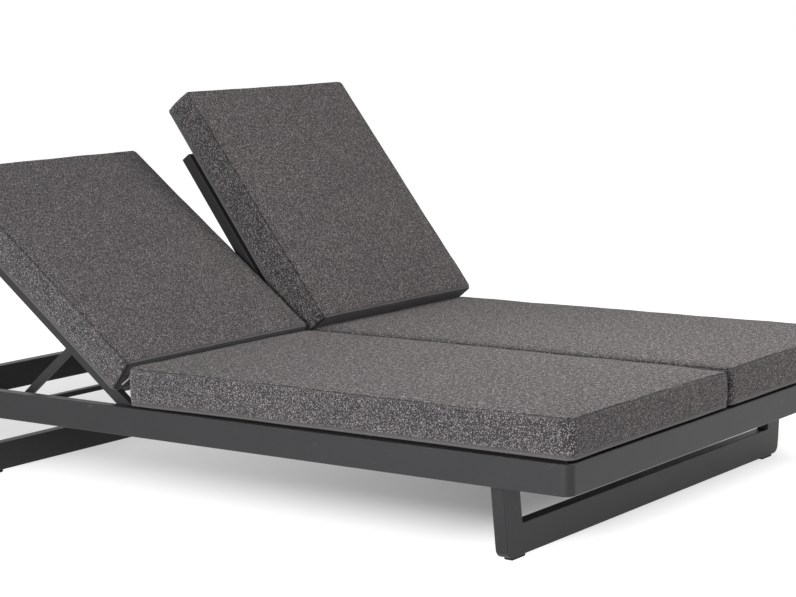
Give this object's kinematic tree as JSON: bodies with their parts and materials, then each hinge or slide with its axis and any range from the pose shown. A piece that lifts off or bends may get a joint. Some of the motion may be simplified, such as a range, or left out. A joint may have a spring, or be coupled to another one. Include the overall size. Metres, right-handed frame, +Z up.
{
  "type": "double sun lounger with reclining backrests",
  "caption": "Low garden lounger for two with a tubular metal frame on sled legs, thick seat cushions and backrests that recline one by one on toothed racks.",
  "frame": {"origin": "on the floor under the middle of the frame, at the centre of the bounding box's underside", "axes": "+X across the lounger from the left place to the right place, +Y from the foot end to the head end, +Z up"},
  "size_m": [1.464, 2, 0.976],
  "materials": {
    "frame_metal": "matte anthracite powder coat",
    "cushion_fabric": "heathered charcoal woven outdoor fabric",
    "black_nylon": "matte black nylon",
    "bolt_steel": "satin stainless steel",
    "zip_metal": "dark satin lacquer"
  },
  "bodies": {
    "frame": {"side_rail_left": "frame_metal", "side_rail_right": "frame_metal", "front_rail": "frame_metal", "rear_rail": "frame_metal", "front_leg": "frame_metal", "rear_leg": "frame_metal", "front_cross_rail": "frame_metal", "rear_cross_rail": "frame_metal", "seat_rear_rail": "frame_metal", "seat_battens": "frame_metal", "seat_slats_left": "frame_metal", "seat_slats_right": "frame_metal", "centre_beam": "frame_metal", "hinge_plate": "frame_metal", "outer_rack_left": "frame_metal", "inner_rack_left": "frame_metal", "outer_rack_right": "frame_metal", "inner_rack_right": "frame_metal", "leg_inserts": "bolt_steel", "leg_bolts": "bolt_steel", "rack_screws": "bolt_steel", "outer_hinge_bolts": "bolt_steel", "centre_hinge_pin": "bolt_steel", "glides": "black_nylon", "hinge_washers": "black_nylon", "rest_pads": "black_nylon", "seat_cushion_left": "cushion_fabric", "seat_cushion_right": "cushion_fabric"},
    "backrest_left": {"outer_stile_left": "frame_metal", "inner_stile_left": "frame_metal", "back_lower_rail_left": "frame_metal", "back_upper_rails_left": "frame_metal", "back_slats_left": "frame_metal", "stile_caps_left": "black_nylon", "hinge_bushes_left": "black_nylon", "prop_pins_left": "bolt_steel", "prop_washers_left": "black_nylon"},
    "prop_left": {"prop_arms_left": "frame_metal", "prop_foot_bar_left": "frame_metal", "prop_pegs_left": "bolt_steel"},
    "back_cushion_left": {"back_cushion_left": "cushion_fabric", "zip_slider_left": "zip_metal"},
    "backrest_right": {"outer_stile_right": "frame_metal", "inner_stile_right": "frame_metal", "back_lower_rail_right": "frame_metal", "back_upper_rails_right": "frame_metal", "back_slats_right": "frame_metal", "stile_caps_right": "black_nylon", "hinge_bushes_right": "black_nylon", "prop_pins_right": "bolt_steel", "prop_washers_right": "black_nylon"},
    "prop_right": {"prop_arms_right": "frame_metal", "prop_foot_bar_right": "frame_metal", "prop_pegs_right": "bolt_steel"},
    "back_cushion_right": {"back_cushion_right": "cushion_fabric", "zip_slider_right": "zip_metal"}
  },
  "joints": [
    {"name": "left_recline", "type": "hinge", "parent": "frame", "child": "backrest_left", "pos_m": [-0.35, 0.272, 0.238], "axis": [1, 0, 0], "range_deg": [-36.8, 16.92]},
    {"name": "left_prop_fold", "type": "hinge", "parent": "backrest_left", "child": "prop_left", "pos_m": [-0.35, 0.46898, 0.38536], "axis": [1, 0, 0], "range_deg": [-32.06, 69.74]},
    {"name": "left_cushion_slide", "type": "slide", "parent": "backrest_left", "child": "back_cushion_left", "axis": [0, 0.8007, 0.599], "range_m": [-0.06735, 0.03096]},
    {"name": "right_recline", "type": "hinge", "parent": "frame", "child": "backrest_right", "pos_m": [0.35, 0.272, 0.238], "axis": [1, 0, 0], "range_deg": [-53.72, 0]},
    {"name": "right_prop_fold", "type": "hinge", "parent": "backrest_right", "child": "prop_right", "pos_m": [0.35, 0.41756, 0.43631], "axis": [1, 0, 0], "range_deg": [0, 101.8]},
    {"name": "right_cushion_slide", "type": "slide", "parent": "backrest_right", "child": "back_cushion_right", "axis": [0, 0.5917, 0.8061], "range_m": [-0.08595, 0]}
  ],
  "couplings": [
    {"joint": "left_prop_fold", "follows": "left_recline", "ratio": -1.895},
    {"joint": "left_cushion_slide", "follows": "left_recline", "m_per_rad": 0.10485},
    {"joint": "right_prop_fold", "follows": "right_recline", "ratio": -1.895},
    {"joint": "right_cushion_slide", "follows": "right_recline", "m_per_rad": 0.091673}
  ]
}
